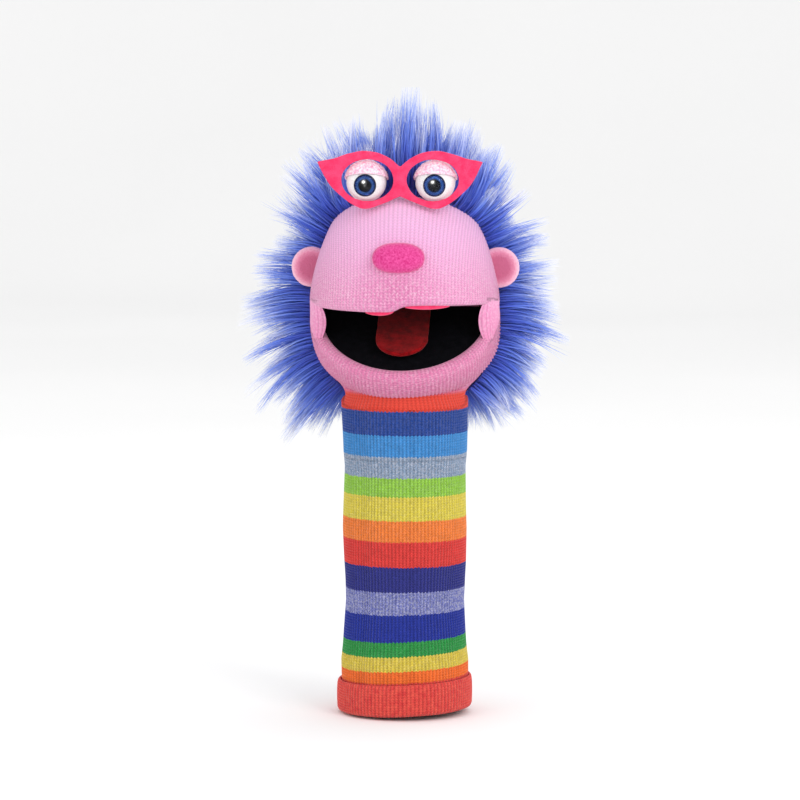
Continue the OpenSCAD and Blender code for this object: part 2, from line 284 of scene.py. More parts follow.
class Paint:
    """One procedural material: each method adds a node and gives its output."""

    def __init__(self, name, roughness, gloss=0.5, sheen=0.0, **fixed):
        self.material = bpy.data.materials.new(name)
        self.material.use_nodes = True
        self.tree = self.material.node_tree
        self.shader = self.tree.nodes["Principled BSDF"]
        self.shader.inputs["Roughness"].default_value = roughness
        self.shader.inputs["Specular IOR Level"].default_value = gloss
        self.shader.inputs["Sheen Weight"].default_value = sheen
        for key, value in fixed.items():
            self.shader.inputs[key.replace("_", " ")].default_value = value

    def node(self, kind, inputs=(), **settings):
        made = self.tree.nodes.new("ShaderNode" + kind)
        for key, value in settings.items():
            setattr(made, key, value)
        for key, value in dict(inputs).items():
            if isinstance(value, bpy.types.NodeSocket):
                self.tree.links.new(value, made.inputs[key])
            else:
                made.inputs[key].default_value = value
        return made

    def stored(self, name):
        return self.node("Attribute", attribute_name=name).outputs["Vector"]

    def place(self):
        return self.node("TexCoord").outputs["Object"]

    def split(self, vector):
        return self.node("SeparateXYZ", {0: vector}).outputs

    def maths(self, operation, a, b=0.0, c=0.0):
        return self.node("Math", {0: a, 1: b, 2: c}, operation=operation).outputs[0]

    def times(self, a, b, plus=0.0):
        return self.maths("MULTIPLY_ADD", a, b, plus)

    def vector(self, operation, a, b=(0, 0, 0)):
        return self.node("VectorMath", {0: a, 1: b}, operation=operation).outputs[0]

    def length(self, vector):
        return self.node("VectorMath", {0: vector}, operation="LENGTH").outputs["Value"]

    def away(self, place, point):
        """From a point in millimetres to a place in metres."""
        return self.vector("SUBTRACT", place, tuple(point * MM))

    def noise(self, where, size, detail=2.0):
        """Noise whose lumps are about size millimetres, for a place in metres."""
        inputs = {"Vector": where, "Scale": 1 / (size * MM), "Detail": detail}
        return self.node("TexNoise", inputs).outputs[0]

    def ramp(self, value, stops, steps=False):
        """Each stop is a value with a colour of 0 to 255, or with a grey of 0 to 1."""
        made = self.node("ValToRGB", {0: value})
        ramp = made.color_ramp
        ramp.interpolation = "CONSTANT" if steps else "LINEAR"
        while len(ramp.elements) < len(stops):
            ramp.elements.new(1.0)
        for element, (at, colour) in zip(ramp.elements, stops):
            element.position = at
            element.color = srgb(*colour) if isinstance(colour, tuple) else grey(colour)
        return made.outputs["Color"]

    def mix(self, amount, a, b, blend="MIX"):
        return self.node("Mix", {0: amount, 6: a, 7: b}, data_type="RGBA", blend_type=blend).outputs[2]

    def bump(self, height, deep):
        """A bump that is deep millimetres from its lowest to its highest."""
        return self.node("Bump", {"Height": height, "Distance": deep * MM}).outputs["Normal"]

    def done(self, colour, normal=None):
        if isinstance(colour, bpy.types.NodeSocket):
            self.tree.links.new(colour, self.shader.inputs["Base Color"])
        else:
            self.shader.inputs["Base Color"].default_value = colour
        if normal is not None:
            self.tree.links.new(normal, self.shader.inputs["Normal"])
        return self.material


def grey(level):
    return (level, level, level, 1.0)


def knit_look(paint, colour, depth, deep=0.35):
    """Finishes a knit: V stitches up each rib, painted shade in the grooves and between stitches, loose
    fibres. It reads the stored vectors.
    """
    groove, along, _ = paint.split(paint.stored("knit"))
    rest = paint.stored("rest")
    row = paint.times(groove, 0.5, paint.maths("DIVIDE", along, STITCH))
    wave = paint.maths("SINE", paint.times(row, 2 * math.pi))
    stitch = paint.times(wave, 0.5, 0.5)
    fibre = paint.noise(rest, 0.5, 3.0)
    # Painted shade: darker in the grooves between ribs, by as much as depth says, and in the dips between
    # stitches; the fibre noise is the yarn's own uneven tone.
    shade = paint.maths("SUBTRACT", 1.0, paint.times(paint.maths("POWER", groove, 1.5), depth))
    shade = paint.times(shade, paint.times(stitch, 0.14, 0.88))
    shade = paint.times(shade, paint.times(fibre, 0.3, 0.85))
    shades = paint.node("CombineColor", {0: shade, 1: shade, 2: shade}).outputs[0]
    lit = paint.mix(1.0, colour, shades, "MULTIPLY")
    height = paint.times(fibre, 0.5, stitch)
    return paint.done(lit, paint.bump(height, deep))


def knit_paint(name):
    return Paint(name, 0.88, sheen=0.18, Sheen_Roughness=0.5, gloss=0.2)


def striped_knit():
    """Stripes by height, with stitch-stepped edges and heathered yarn in some."""
    paint = knit_paint("striped knit")
    groove, along, _ = paint.split(paint.stored("knit"))
    rest = paint.stored("rest")
    ragged = paint.times(groove, 0.9, along)
    ragged = paint.times(paint.noise(rest, 2.5, 1.0), 1.4, ragged)
    level = paint.maths("DIVIDE", paint.maths("SUBTRACT", ragged, 2.8), CORAL_TOP + 10)
    starts = [0.0] + [top / (CORAL_TOP + 10) for top, _, _ in STRIPES[:-1]]
    yarn = paint.ramp(level, [(at, stripe[1]) for at, stripe in zip(starts, STRIPES)], steps=True)
    pale = paint.ramp(level, [(at, stripe[2]) for at, stripe in zip(starts, STRIPES)], steps=True)
    fleck = paint.ramp(paint.noise(rest, 1.1, 2.0), [(0.42, 0), (0.62, 1)])
    mottle = paint.ramp(paint.noise(rest, 3.2, 2.0), [(0.3, 0.86), (0.7, 1.06)])
    heather = paint.mix(paint.times(pale, fleck), yarn, srgb(214, 214, 226))
    return knit_look(paint, paint.mix(1.0, heather, mottle, "MULTIPLY"), 0.3)


def red_knit():
    paint = knit_paint("red knit")
    rest = paint.stored("rest")
    yarn = paint.ramp(paint.noise(rest, 3.0, 3.0), [(0.3, (222, 62, 62)), (0.7, (244, 92, 78))])
    return knit_look(paint, yarn, 0.35)


def pink_knit():
    """Paler up to the forehead and deeper on the chin, which is painted light from above and shade below;
    darker under the nose, partly painted shadow of the nose; flecked round the mouth, and coral at the
    neck's rim.
    """
    paint = knit_paint("pink knit")
    rest = paint.stored("rest")
    _, _, height = paint.split(rest)
    _, _, coral = paint.split(paint.stored("knit"))
    # Painted light and shade: the pink is paler higher up the face, which faces the light, and deeper low on
    # the chin.
    level = paint.maths("DIVIDE", paint.maths("SUBTRACT", height, 0.195), 0.14)
    base = paint.ramp(level, [
        (0.0, (210, 112, 156)), (0.2, (226, 128, 174)), (0.42, (238, 150, 194)),
        (0.56, (242, 162, 206)), (0.8, (247, 186, 230)), (1.0, (249, 196, 236)),
    ])
    # Painted shadow of the nose, partly the knit's own deeper tone: the pink is mixed toward a deeper pink
    # round the point under the nose.
    away = paint.length(paint.away(rest, UNDER_NOSE))
    near = paint.ramp(paint.maths("DIVIDE", away, SHADE_REACH * MM), [(0.15, 0.75), (1.0, 0)])
    base = paint.mix(near, base, srgb(222, 126, 176))
    fleck = paint.ramp(paint.noise(rest, 1.3, 3.0), [(0.45, 0), (0.66, 1)])
    flecked = paint.ramp(level, [(0.0, 0.45), (0.35, 0.3), (0.55, 0.5), (0.8, 0.12)])
    pink = paint.mix(paint.times(fleck, flecked), base, srgb(255, 214, 234))
    return knit_look(paint, paint.mix(coral, pink, srgb(*STRIPES[-1][1])), 0.19, 0.28)


def velour(name, dark, light, lump=1.2, deep=0.3):
    """Short plush pile of one colour, brushed unevenly."""
    paint = Paint(name, 0.95, sheen=0.45, Sheen_Roughness=0.4, gloss=0.15)
    place = paint.place()
    pile = paint.noise(place, lump, 4.0)
    return paint.done(paint.ramp(pile, [(0.32, dark), (0.68, light)]), paint.bump(pile, deep))


def eyelid_plush():
    """Pale pink pile flecked with white and rose."""
    paint = Paint("eyelid plush", 0.95, sheen=0.35, gloss=0.15)
    pile = paint.noise(paint.place(), 1.5, 4.0)
    stops = [
        (0.3, (232, 140, 184)), (0.42, (244, 184, 210)),
        (0.54, (250, 218, 232)), (0.66, (253, 242, 247)),
    ]
    return paint.done(paint.ramp(pile, stops), paint.bump(pile, 0.5))


def ear_plush(side):
    """A rose middle inside a paler, fluffier rim."""
    paint = Paint(f"ear plush {side}", 0.95, sheen=0.5, gloss=0.15)
    place = paint.place()
    pile = paint.noise(place, 1.1, 4.0)
    out = paint.maths("DIVIDE", paint.length(paint.away(place, ear_middle(side))), EAR_R * MM)
    edge = paint.times(pile, 0.25, paint.maths("SUBTRACT", out, 0.12))
    colour = paint.ramp(edge, [
        (0.55, (200, 104, 138)), (0.78, (222, 136, 166)), (0.95, (244, 184, 206)),
    ])
    return paint.done(colour, paint.bump(pile, 0.45))


def felt(name, dark, light, deep=0.22, sheen=0.3):
    """Pressed fibres: close, matt and a little uneven."""
    paint = Paint(name, 0.92, sheen=sheen, gloss=sheen / 2)
    place = paint.place()
    fibre = paint.noise(place, 0.7, 5.0)
    cloud = paint.noise(place, 5.0, 2.0)
    both = paint.times(cloud, 0.5, paint.times(fibre, 0.5))
    return paint.done(paint.ramp(both, [(0.38, dark), (0.62, light)]), paint.bump(fibre, deep))


def woven(name, dark, light):
    """Plain weave: two sets of threads that cross."""
    paint = Paint(name, 0.9, sheen=0.2, gloss=0.2)
    x, y, z = paint.split(paint.place())
    turn = 2 * math.pi / (0.9 * MM)
    warp = paint.maths("SINE", paint.times(paint.maths("ADD", x, y), turn))
    weft = paint.maths("SINE", paint.times(z, turn))
    threads = paint.times(paint.times(warp, weft), 0.5, 0.5)
    colour = paint.ramp(threads, [(0.0, dark), (1.0, light)])
    return paint.done(colour, paint.bump(threads, 0.2))


def fur_paint():
    """Deep blue at the skin, then brighter along the strand to nearly white tips: the paling is painted
    light shining through the strands.
    """
    paint = Paint("blue fur", 0.6, sheen=0.25, gloss=0.3)
    along, strand, clump = paint.split(paint.stored("strand"))
    spread = paint.times(strand, 0.26, paint.times(clump, 0.2, -0.24))
    level = paint.maths("ADD", along, paint.times(spread, paint.maths("ADD", along, 0.35)))
    # Painted light: the ramp pales toward the tips as if light shone through them; the strand and clump
    # randoms are the fur's own uneven tone.
    return paint.done(paint.ramp(level, [
        (0.0, (50, 68, 176)), (0.22, (72, 100, 214)), (0.45, (98, 130, 230)),
        (0.66, (138, 164, 240)), (0.84, (200, 212, 250)), (1.0, (244, 246, 255)),
    ]))


def foam():
    """Open-cell upholstery foam."""
    paint = Paint("foam", 0.95, gloss=0.1)
    place = paint.place()
    cells = paint.node("TexVoronoi", {"Vector": place, "Scale": 1 / (1.4 * MM)}).outputs["Distance"]
    colour = paint.ramp(cells, [(0.0, (196, 186, 158)), (0.5, (240, 234, 214))])
    return paint.done(colour, paint.bump(cells, 0.5))


def fibre_fill():
    paint = Paint("fibre fill", 0.97, sheen=0.3)
    cloud = paint.noise(paint.place(), 1.6, 5.0)
    return paint.done(paint.ramp(cloud, [(0.3, 0.62), (0.65, 0.86)]), paint.bump(cloud, 0.8))


def stiff_board():
    """Pressed board with long faint fibres."""
    paint = Paint("stiff board", 0.7, gloss=0.3)
    stretched = paint.vector("MULTIPLY", paint.place(), (1.0, 0.15, 1.0))
    fibre = paint.noise(stretched, 0.8, 4.0)
    colour = paint.ramp(fibre, [(0.3, (168, 134, 92)), (0.7, (206, 172, 124))])
    return paint.done(colour, paint.bump(fibre, 0.1))


def washer_plastic():
    paint = Paint("washer plastic", 0.5, gloss=0.4)
    grain = paint.noise(paint.place(), 0.4, 3.0)
    return paint.done(paint.ramp(grain, [(0.3, 0.62), (0.7, 0.74)]), paint.bump(grain, 0.03))


def eye_middle(side):
    """The centre of an eyeball, from the box of its cover, whose outer side is a full radius away."""
    low, high = box("eyeball_cover_" + side)
    x = high[0] - EYE_R if side == "left" else low[0] + EYE_R
    return np.array([x, EYE_Y, EYE_Z])


GAZE = np.array([0.0, -math.cos(EYE_PITCH), -math.sin(EYE_PITCH)])


def iris_paint(side):
    """A black pupil, streaked blue round it, and a dark rim, by distance from the eye's axis."""
    paint = Paint("iris " + side, 0.4, gloss=0.05)
    out = paint.vector("CROSS_PRODUCT", paint.away(paint.place(), eye_middle(side)), tuple(GAZE))
    distance = paint.maths("DIVIDE", paint.length(out), IRIS_R * MM)
    ray = paint.vector("NORMALIZE", out)
    streak = paint.node("TexNoise", {"Vector": ray, "Scale": 9.0, "Detail": 3.0}).outputs[0]
    level = paint.times(paint.maths("SUBTRACT", streak, 0.5), 0.10, distance)
    pupil = PUPIL_R / IRIS_R
    return paint.done(paint.ramp(level, [
        (pupil - 0.02, (2, 2, 4)), (pupil + 0.03, (18, 34, 78)), (pupil + 0.14, (50, 84, 148)),
        (0.78, (40, 70, 134)), (0.88, (18, 32, 84)), (0.96, (5, 8, 34)),
    ]))


def clear_plastic():
    """Its weak reflection keeps the pupils dark."""
    paint = Paint("clear plastic", 0.2, Transmission_Weight=1.0, IOR=1.15)
    return paint.done((0.97, 0.98, 1.0, 1.0))


# ---- The camera ----


def make_camera():
    """Far off and level with the puppet's middle, a little to its left and above."""
    target = Vector((-3.2, 0, 200)) * MM
    distance = 2.5
    azimuth, elevation = math.radians(4), math.radians(5)
    level = math.cos(elevation)
    back = Vector((math.sin(azimuth) * level, -math.cos(azimuth) * level, math.sin(elevation)))
    data = bpy.data.cameras.new("camera")
    data.lens = 175.8
    data.clip_end = 20
    camera = add_object("camera", data)
    camera.location = target + back * distance
    camera.rotation_euler = (-back).to_track_quat("-Z", "Y").to_euler()
    bpy.context.scene.camera = camera


# ---- The sleeve ----


def rib_groove(columns):
    """0 on each rib's crest and 1 in the groove beside it, for columns of points round a knit."""
    turn = (np.arange(columns) % PER_RIB) / PER_RIB
    return 1 - np.abs(2 * turn - 1)


def sleeve_wall(angle, z):
    """The sleeve's outside: its girth, two soft creases down its front, and the sag of cloth."""
    radius = np.interp(z, SLEEVE_Z, SLEEVE_R)
    for centre, width, depth in [(-41, 7, 1.1), (9.4, 5, 1.2), (118, 9, 1.2), (-150, 9, 1.0)]:
        away = (angle - math.radians(centre)) / math.radians(width)
        radius = radius - depth * np.exp(-away * away)
    return radius + 0.3 * np.sin(2 * angle + z / 21) + 0.2 * np.sin(5 * angle - z / 13)


def stripe_tilt(angle, z):
    """How far the lower stripes climb to the right, where the sleeve hangs askew."""
    return 2.0 * np.sin(angle) * (1 - smooth(z, 30, 95))


def knit_tube(name, low, high, drop):
    """A length of sleeve with its inner wall, as one closed surface; drop lowers its top in front."""
    columns = SLEEVE_RIBS * PER_RIB
    angle = ring(columns)
    angle = np.where(angle > math.pi, angle - 2 * math.pi, angle)
    outer = np.linspace(low, high, max(3, round((high - low) / STITCH) + 1))
    inner = np.linspace(high, low, max(3, round((high - low) / 9) + 1))
    z = np.concatenate([outer, inner])[:, None]
    outside = (np.arange(len(z)) < len(outer))[:, None]
    groove = rib_groove(columns)[None, :]
    rib = np.cos(math.pi * groove)
    radius = np.where(outside, sleeve_wall(angle, z) + 0.4 * rib, SLEEVE_IN + 0.25 * rib)
    share = np.clip((z - low) / (high - low), 0, 1)
    height = z - drop * share * smooth(np.cos(angle), -0.45, 0.5)
    points = stacked(radius * np.sin(angle), -radius * np.cos(angle), height)
    along = height - stripe_tilt(angle, z)
    knit = stacked(groove, along, 0.0)
    return grid_piece(name, points, STRIPED, "rows and columns", 0.0, knit=knit, rest=points * MM)


def hem():
    """The turned-up hem: rolled over at the bottom, standing proud of the sleeve at its top."""
    columns = SLEEVE_RIBS * PER_RIB
    angle = ring(columns)
    section = [(36.4, 2.6), (36.8, 0.9), (38.4, 0.1), (40.8, 0.0), (42.3, 0.7), (43.0, 2.4)]
    section += [(43.0 + 0.25 * math.sin(t), 2.4 + 15 * t / 3.1) for t in np.linspace(0.3, 3.1, 9)]
    section += [(42.6, 19.4), (41.9, 20.4), (41.2, 20.2), (41.0, 18.0), (40.9, 5.0), (38.6, 3.4)]
    radius, z = (np.array(v)[:, None] for v in zip(*section))
    groove = rib_groove(columns)[None, :]
    outer = smooth(radius, 40.5, 42.5)
    wave = 0.35 * np.sin(3 * angle + 0.6) + 0.25 * np.sin(7 * angle)
    reach = radius + outer * (0.3 * np.cos(math.pi * groove) + 0.5 * wave)
    height = z + 1.6 + 1.5 * np.sin(angle) + 0.25 * wave
    points = stacked(reach * np.sin(angle), -reach * np.cos(angle), height)
    knit = stacked(groove, z, 0.0)
    return grid_piece("hem", points, red_knit(), "rows and columns", 0.0, knit=knit, rest=points * MM)


def make_sleeve():
    lower = knit_tube("sleeve_knit", 4.5, BAND_TOP, 0.0)
    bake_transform(lower)
    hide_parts("sleeve", "sleeve_wrist_knit", "wrist_band")
    upper = knit_tube("neck", BAND_TOP, NECK_TOP, NECK_DROP)
    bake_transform(upper)
    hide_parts("neck_knit")
    cuff = finish_piece(hem(), "sleeve", "red_knit", "hem_cuff")


# ---- The head's surface ----


def egg_hit(start, way, inset=0.0):
    """How far rays from a point inside go before they leave the head's egg."""
    def reach(tall):
        half = np.array([*HEAD_HALF, tall]) - inset
        s, w = (start - HEAD_AT) / half, way / half
        a, b, c = (w * w).sum(-1), (s * w).sum(-1), (s * s).sum(-1) - 1
        return (-b + np.sqrt(b * b - a * c)) / a
    up = reach(CROWN)
    low = (start + up[..., None] * way)[..., 2] < HEAD_AT[2]
    return np.where(low, reach(NAPE), up)


def egg_scale(z):
    """How wide the egg is at a height, as a share of its widest."""
    tall = np.where(z > HEAD_AT[2], CROWN, NAPE)
    return np.sqrt(np.clip(1 - ((z - HEAD_AT[2]) / tall) ** 2, 0, 1))


def way_out(side, turn):
    """Directions from the hinge: side swings to the left and right, turn climbs from the front."""
    return stacked(np.sin(side), -np.cos(side) * np.cos(turn), np.cos(side) * np.sin(turn))


def jaw_reach(way, inset=0.0):
    """How far rays from the hinge go before they leave the jaw's bowl, in the jaw's frame."""
    turn = -np.arctan2(way[..., 2], -way[..., 1])
    power = 2.6 + 1.4 * smooth(turn, math.radians(20), math.radians(60))
    low, high = np.zeros(way.shape[:-1]), np.full(way.shape[:-1], 130.0)
    for _ in range(34):
        t = (low + high) / 2
        x = t * way[..., 0] / (JAW_HALF[0] - inset)
        y = (t * way[..., 1] - JAW_AT_Y) / (JAW_HALF[1] - inset)
        z = np.abs(t * way[..., 2]) / (JAW_DEEP - inset)
        out = np.sqrt(x * x + y * y) ** power + z ** power > 1
        low, high = np.where(out, low, t), np.where(out, t, high)
    return low


def jaw_end(side):
    """How far under the jaw its skin goes: less in the middle, where the hand goes in, than at the sides."""
    return JAW_END + (JAW_SIDE_END - JAW_END) * smooth(np.abs(side), math.radians(35), math.radians(75))


def opened(points):
    """From the jaw's frame to the row frame, at rest."""
    c, s = math.cos(JAW_OPEN), math.sin(JAW_OPEN)
    x, y, z = points[..., 0], points[..., 1], points[..., 2]
    return np.stack([x, y * c - z * s, y * s + z * c], -1) + HINGE


def lip_height(x):
    """The upper lip sits lower on the left of its middle seam than on the right."""
    return -0.9 + 1.9 * np.tanh(x / 4)


# ---- The face ----


def face_columns():
    side = np.radians(np.linspace(-90, 90, FACE_RIBS * PER_RIB + 1))
    return side, rib_groove(len(side))


def hairline(points):
    """The Y behind which the fur starts, for points on the head."""
    drop = HAIR_DROP * (points[..., 0] / 42) ** 2
    return np.interp(points[..., 2] + drop, HAIR_Z, HAIR_Y)


def hair_turn(side):
    """For each column, how far round the head its skin goes before it meets the hair."""
    turn = np.radians(np.linspace(0, 180, 721))[:, None]
    way = way_out(side[None, :], turn)
    points = HINGE + egg_hit(HINGE, way)[..., None] * way
    behind = points[..., 1] > hairline(points)
    first = np.where(behind.any(0), behind.argmax(0), len(turn) - 1)
    return turn[first, 0]


def lip_rows(point, height, half, centre_y, grow):
    """The rolled lip inside an outline: point is the lip's outline, and height its fade to the corners."""
    rows = []
    for inset, rise in LIP_ROLL:
        scale = grow(point[:, 2], height * rise)
        x = point[:, 0] * scale * (half[0] - inset) / half[0]
        y = centre_y + (point[:, 1] - centre_y) * scale * (half[1] - inset) / half[1]
        rows.append(np.stack([x, y, point[:, 2] + height * rise], -1))
    return np.array(rows)


def upper_face(side, groove):
    """Rows of the face from inside the upper lip to the hairline, with how far up the knit each point is."""
    spread = np.cos(side) * egg_hit(HINGE, way_out(side, np.zeros(1)))
    fade = np.tanh(spread / ROLL_REACH)
    lift = (UPPER_LIP + lip_height(LIP_REACH * np.sin(side)) * smooth(spread, 4, 45)) / LIP_REACH
    way = way_out(side, lift)
    lip = egg_hit(HINGE, way)[:, None] * way + HINGE
    grow = lambda z, rise: egg_scale(z + rise) / egg_scale(z)
    roll = lip_rows(lip, fade, HEAD_HALF, HEAD_AT[1], grow)
    start = lift + np.where(spread > 1e-6, ROLL_TOP * fade / np.maximum(spread, 1e-6), ROLL_TOP / ROLL_REACH)
    share = np.linspace(0, 1, 64)[:, None]
    turn = start + (hair_turn(side) - start) * share
    way = way_out(side[None, :], turn)
    arc = turn * ARC_REACH
    rib = 0.2 * smooth(arc, 4, 12) * smooth(spread, 3, 16)
    seam = 0.35 * np.exp(-((LIP_REACH * side) / 0.9) ** 2) * smooth(arc, 38, 50)
    sag = 0.35 * np.sin(5 * side + 1) * np.sin(3 * turn) * smooth(arc, 4, 20) * smooth(spread, 3, 16)
    reach = egg_hit(HINGE, way) + rib * np.cos(math.pi * groove) - seam + sag
    skin = HINGE + reach[..., None] * way
    return np.concatenate([roll, skin]), np.concatenate([arc[0] + LIP_ALONG, arc])


def lower_face(side, groove):
    """The same for the jaw, from inside the lower lip to the bowl's back edge."""
    flat = np.zeros(1)
    spread = np.cos(side) * jaw_reach(way_out(side, flat))
    fade = np.tanh(spread / ROLL_REACH)
    drop = -LOWER_LIP / LIP_REACH
    way = way_out(side, np.full(1, drop))
    lip = jaw_reach(way)[:, None] * way
    roll = lip_rows(lip, -fade, JAW_HALF, JAW_AT_Y, lambda z, rise: np.ones_like(z))
    start = drop - np.where(spread > 1e-6, ROLL_TOP * fade / np.maximum(spread, 1e-6), ROLL_TOP / ROLL_REACH)
    share = np.linspace(0, 1, 48)[:, None]
    turn = start + (-jaw_end(side) - start) * share
    way = way_out(side[None, :], turn)
    arc = -turn * ARC_REACH
    rib = 0.38 * smooth(arc, 3, 12) * smooth(spread, 3, 16)
    sag = 0.3 * np.sin(7 * side) * np.sin(4 * turn) * smooth(arc, 4, 20) * smooth(spread, 3, 16)
    reach = jaw_reach(way) + rib * np.cos(math.pi * groove) + sag
    skin = reach[..., None] * way
    return opened(np.concatenate([roll, skin])), -np.concatenate([arc[0] + LIP_ALONG, arc])


def corner_rows(side):
    """The small fan of skin behind a corner of the mouth, from the face's back edge to the jaw's."""
    down = 2 * math.pi - jaw_end(side) - JAW_OPEN
    turn = math.pi + (down - math.pi) * np.linspace(0, 1, 14)[:, None]
    near = egg_hit(HINGE, way_out(side, np.full(1, math.pi)))
    far = jaw_reach(way_out(side, -jaw_end(side)))
    share = smooth(turn, math.pi, down)
    reach = near * (1 - share) + far * share
    return HINGE + reach[..., None] * way_out(side[None, :], turn)


def cheek_rows(side, top, bottom):
    """The skin over a corner of the mouth, between the upper face's first row and the jaw's."""
    def polar(points):
        away = points - HINGE
        return np.arctan2(away[:, 2], -away[:, 1]), np.linalg.norm(away, axis=1)
    share = np.linspace(0, 1, 18)[:, None]
    high, near = polar(top)
    low, far = polar(bottom)
    rolled = np.clip(1 - (np.abs(side) - CHEEK_FROM) / CHEEK_ROLL, 0, 1)
    tuck = 0.3 * np.sin(math.pi * share) + 7 * rolled ** 2 * np.sin(math.pi * share) ** 0.6
    reach = near + (far - near) * share - tuck
    return HINGE + reach[..., None] * way_out(side[None, :], high + (low - high) * share)


def make_face():
    side, groove = face_columns()
    upper, upper_rise = upper_face(side, groove)
    lower, lower_rise = lower_face(side, groove)
    closed_round = hair_turn(side) > math.pi - 0.01
    parts = [(upper, upper_rise, groove), (lower, lower_rise, groove)]
    for end in (-1, 1):
        here = (np.abs(side) >= CHEEK_FROM) & (np.sign(side) == end)
        first = len(LIP_ROLL)
        cheek = cheek_rows(side[here], upper[first, here], lower[first, here])
        parts.append((cheek, np.zeros(cheek.shape[:2]), groove[here]))
        here = closed_round & (np.sign(side) == end)
        fan = corner_rows(side[here])
        parts.append((fan, np.zeros(fan.shape[:2]), np.zeros(here.sum())))
    points, faces, knit, count = [], [], [], 0
    for grid, rise, ribs in parts:
        rows, columns = grid.shape[:2]
        quads = grid_faces(rows, columns)
        if columns == len(side):
            rolled = quads[:, 0] // columns < len(LIP_ROLL)
            behind_cheek = np.abs(side[quads[:, 0] % columns]) > CHEEK_FROM + CHEEK_ROLL
            quads = quads[~(rolled & behind_cheek)]
        faces.append(quads + count)
        points.append(grid.reshape(-1, 3))
        knit.append(stacked(ribs[None, :], rise, 0.0).reshape(-1, 3))
        count += rows * columns
    points = np.concatenate(points)
    face = new_piece("face_skin", points, np.concatenate(faces), PINK, weld=0.04,
                     knit=np.concatenate(knit), rest=points * MM)
    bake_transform(face)
    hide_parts("head_skin", "jaw_skin")


def throat_front(z):
    return np.interp(z, [197, 207, 217, 229, 236, 240, 250, 262], [-40, -39, -26, -12, -4.5, 0, 8.5, 12])


def make_throat():
    """The knit under the jaw, from the neck's rim to the corners of the mouth."""
    columns = 54 * PER_RIB + 1
    turn = np.linspace(-math.pi / 2, math.pi / 2, columns)[None, :]
    z = np.linspace(NECK_TOP - NECK_DROP, HINGE[2], 40)[:, None]
    centre = 14.0
    half = HEAD_HALF[0] * np.sqrt(egg_scale(z) ** 2 - ((centre - HEAD_AT[1]) / HEAD_HALF[1]) ** 2) - 1.3
    x = half * np.sin(turn)
    y = centre - (centre - throat_front(z)) * np.cos(turn)
    neck_r = 39.2
    round_turn = turn * math.acos(-centre / neck_r) / (math.pi / 2)
    share = smooth(z, 197, 215)
    groove = rib_groove(columns)[None, :]
    rib = 0.35 * np.cos(math.pi * groove)
    x = (x + rib * np.sin(turn)) * share + (neck_r + rib) * np.sin(round_turn) * (1 - share)
    y = (y - rib * np.cos(turn)) * share - (neck_r + rib) * np.cos(round_turn) * (1 - share)
    points = stacked(x, y, z)
    coral = smooth(-z, -CORAL_TOP - 0.3, -CORAL_TOP + 0.3)
    knit = stacked(groove, z, coral)
    throat = grid_piece("throat", points, PINK, weld=0.0, knit=knit, rest=points * MM)
    finish_piece(throat, "head", "pink_knit", "throat_knit")


# ---- The mouth ----


def plan_sheet(half, centre_y, inset, back, shape):
    """A sheet that fills the mouth's plan: rows from the back to the front, each as wide as the outline."""
    a, b = half - inset
    y = np.linspace(back, centre_y - b, 60)[:, None]
    wide = a * np.sqrt(np.clip(1 - ((y - centre_y) / b) ** 2, 0, 1))
    x = wide * np.linspace(-1, 1, 81)[None, :]
    y = np.broadcast_to(y, x.shape)
    z = shape(x, y)
    thick = 0.8 * (1 - np.linspace(-1, 1, 81) ** 10)
    top = np.stack([x, y, z], -1)
    under = np.stack([x, y, z - thick], -1)[::-1]
    return np.concatenate([top, under])


def black_sheet(name, points, body, node):
    sheet = grid_piece(name, points, BLACK, "rows")
    finish_piece(sheet, body, "black_cloth", node)


def make_linings():
    """The mouth's two black linings, cupped a little, and the rolled fold between them."""
    upper = plan_sheet(HEAD_HALF, HEAD_AT[1], 7.2, HINGE[1] - 1.6,
                       lambda x, y: 265.0 - 0.4 * np.cos(x / 17) * np.cos(y / 23))
    black_sheet("upper_lining", upper, "head", "palate_lining")
    lower = plan_sheet(JAW_HALF, JAW_AT_Y, 7.2, -1.6,
                       lambda x, y: -2.5 - 0.4 * np.cos(x / 16) * np.cos(y / 21))
    black_sheet("lower_lining", opened(lower), "jaw", "jaw_lining")
    turn = ring(16)
    x = np.linspace(-1, 1, 90)[:, None]
    taper = np.sqrt(np.clip(1 - x ** 8, 0, 1))
    thick = 1.8 * taper * (1 + 0.08 * np.sin(40 * x + 2 * turn))
    points = stacked(49 * x, HINGE[1] + thick * np.cos(turn), HINGE[2] + thick * np.sin(turn))
    fold = grid_piece("mouth_roll", points, BLACK, "columns")
    finish_piece(fold, "head", "black_cloth", "mouth_fold")


def make_lip_edges():
    """Hot pink cloth that peeps out under the upper lip, on both sides of its middle seam."""
    for name, low, high in [("lip_edge_left", -21, -2.5), ("lip_edge_right", 4, 32)]:
        share = np.linspace(0, 1, 40)[:, None]
        x = low + (high - low) * share
        half = HEAD_HALF - 4.5
        y = HEAD_AT[1] - half[1] * np.sqrt(1 - (x / half[0]) ** 2) * egg_scale(263)
        swell = np.sin(math.pi * share) ** 0.5
        z = HINGE[2] + UPPER_LIP + lip_height(x) - 0.6 * swell
        turn = ring(14)
        points = stacked(x, y + 2.2 * swell * np.cos(turn), z + 1.5 * swell * np.sin(turn))
        edge = grid_piece(name, points, HOT_FELT, "columns")
        finish_piece(edge, "head", "pink_felt")


def make_tongue():
    """Felt, folded softly along its middle, with its edges turned up."""
    low, high = box("tongue")
    half = (high[0] - low[0]) / 2

    def cup(points):
        x = points[:, :1] / half
        return points + (0.5 * x * x - 0.3 * np.exp(-(x / 0.16) ** 2)) * [0, 0, 1]
    tongue = soft_copy("tongue_felt", "tongue", RED_FELT, 0.6, 6, 6, 0.25, cup)
    finish_piece(tongue, "tongue", "red_felt", "tongue")


# ---- Nose, ears and eyes ----


